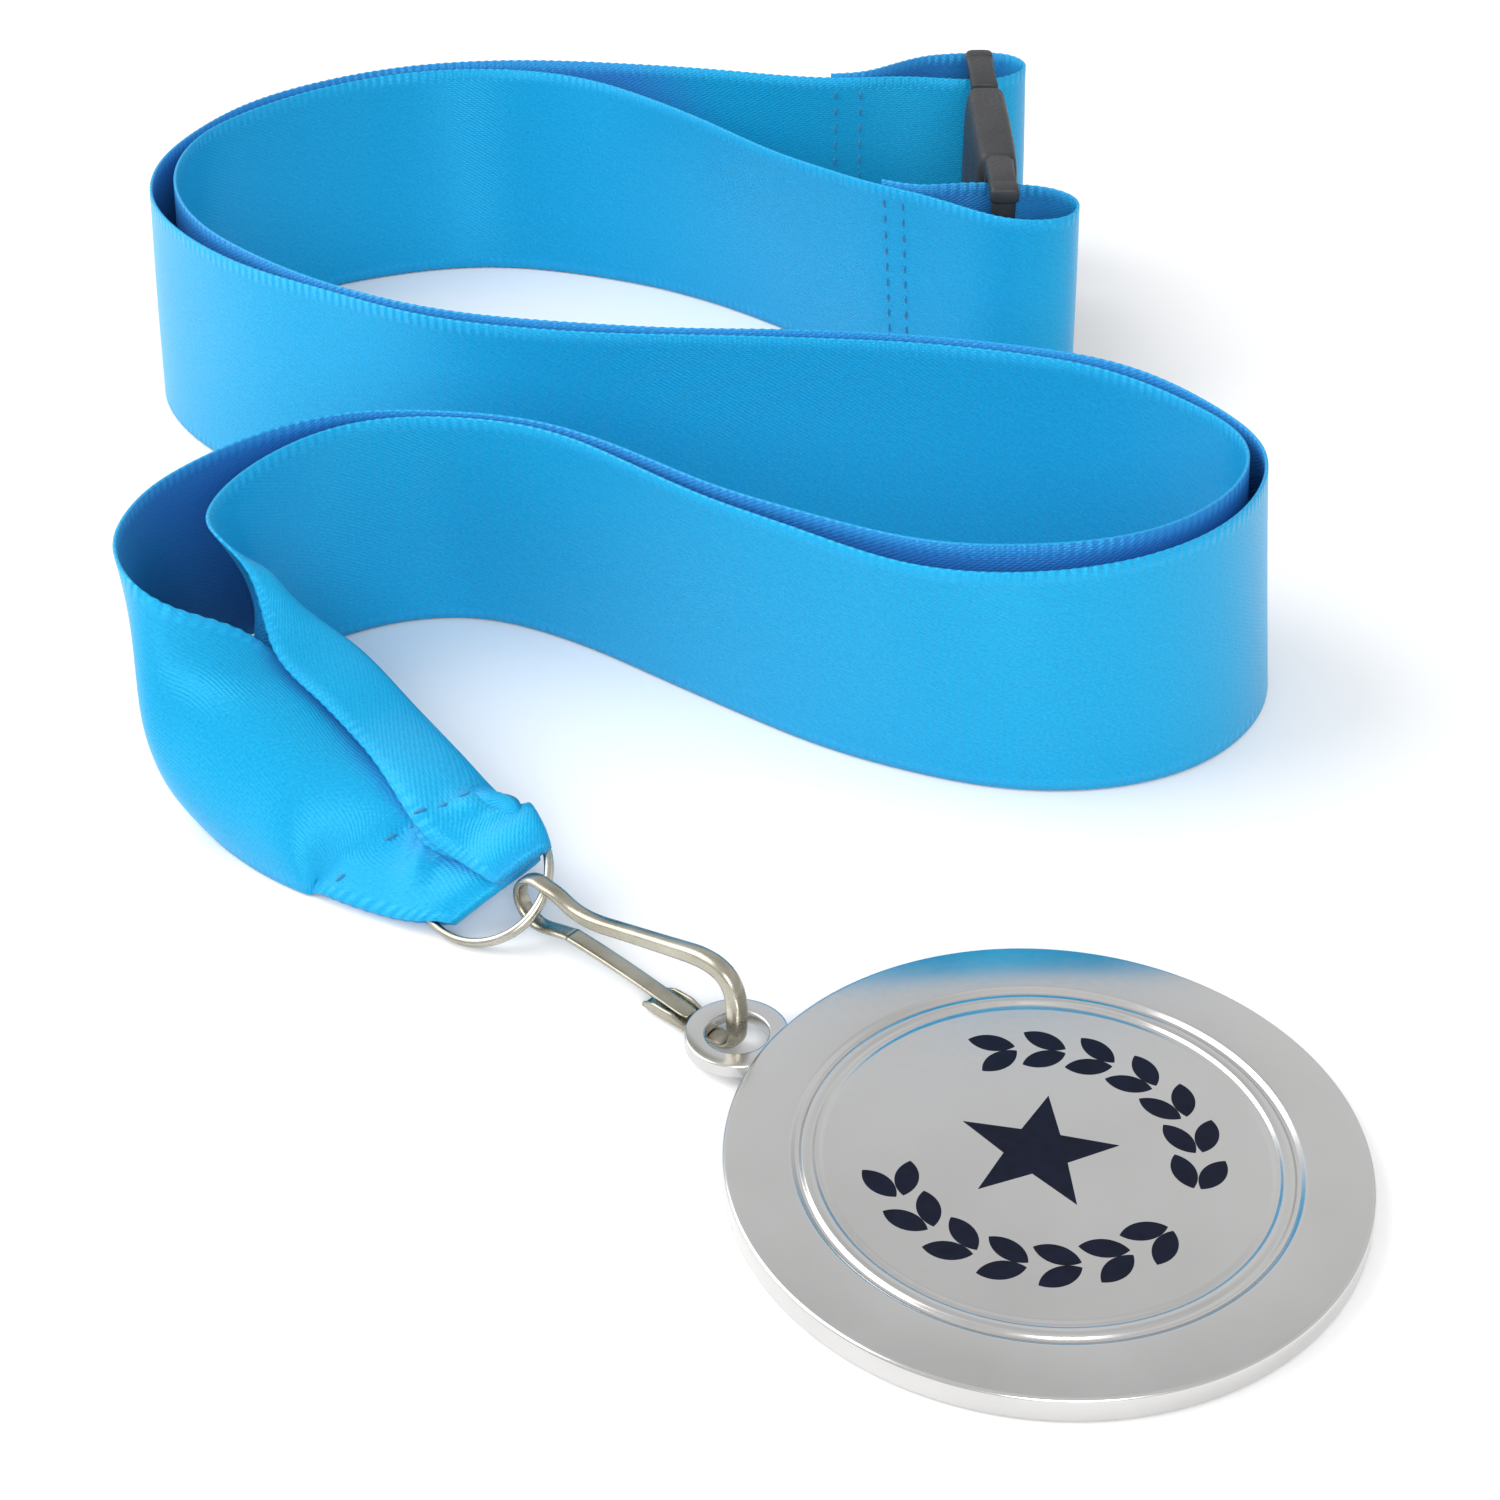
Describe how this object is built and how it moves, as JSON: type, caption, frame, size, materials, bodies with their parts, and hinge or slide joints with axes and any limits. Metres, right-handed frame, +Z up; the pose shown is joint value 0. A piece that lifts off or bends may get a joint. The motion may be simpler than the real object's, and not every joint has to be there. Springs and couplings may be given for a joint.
{
  "type": "presentation medal",
  "caption": "Round presentation medal with a rimmed face and pierced lug, on a snap hook and split ring, with a folded satin neck ribbon closed by a breakaway buckle.",
  "frame": {"origin": "centre of the medal's flat back, on the table", "axes": "+Z up, out of the medal's face; +Y away from the medal towards the folded ribbon; the lug leaves the medal to the upper left seen from above"},
  "size_m": [0.1176, 0.1951, 0.0277],
  "materials": {
    "medal_nickel": "polished nickel plate",
    "emblem_ink": "matt printed ink",
    "hook_steel": "warm nickel plate, tumbled",
    "ring_steel": "nickel plated wire",
    "satin_ribbon": "woven satin, light blue face and royal blue reverse",
    "thread": "polyester sewing thread",
    "buckle_plastic": "moulded acetal, matt"
  },
  "bodies": {
    "lanyard": {"ribbon_outer_tail": "satin_ribbon", "ribbon_inner_tail": "satin_ribbon", "ribbon_ring_end": "satin_ribbon", "ribbon_far_loop": "satin_ribbon", "ring_end_stitching": "thread", "far_loop_stitching": "thread", "buckle_female": "buckle_plastic"},
    "ring": {"small_ring": "ring_steel"},
    "hook": {"hook_body": "hook_steel"},
    "gate": {"hook_gate": "hook_steel"},
    "medal": {"medal_body": "medal_nickel", "printed_star": "emblem_ink", "printed_wreath": "emblem_ink"},
    "tongue_half": {"buckle_male": "buckle_plastic", "ribbon_near_loop": "satin_ribbon", "near_loop_stitching": "thread"}
  },
  "joints": [
    {"name": "ring_turn", "type": "hinge", "parent": "lanyard", "child": "ring", "pos_m": [-0.04574, 0.03218, 0.00434], "axis": [-0.2811, -0.5822, 0.7629], "range_deg": [-60, 15]},
    {"name": "hook_swing", "type": "hinge", "parent": "ring", "child": "hook", "pos_m": [-0.0407, 0.02897, 0.00375], "axis": [0.4646, 0.613, 0.639], "range_deg": [-60, 60]},
    {"name": "gate_open", "type": "hinge", "parent": "hook", "child": "gate", "pos_m": [-0.03793, 0.02656, 0.00224], "axis": [-0.6561, -0.7547, 0], "range_deg": [0, 20], "stiffness_Nm_per_rad": 0.001, "springref_deg": -5.73},
    {"name": "medal_swivel", "type": "hinge", "parent": "hook", "child": "medal", "pos_m": [-0.02387, 0.01434, 0.00136], "axis": [0, 0, 1], "range_deg": [-85, 50]},
    {"name": "buckle_release", "type": "slide", "parent": "lanyard", "child": "tongue_half", "axis": [0, -1, 0], "range_m": [0, 0.012]}
  ]
}
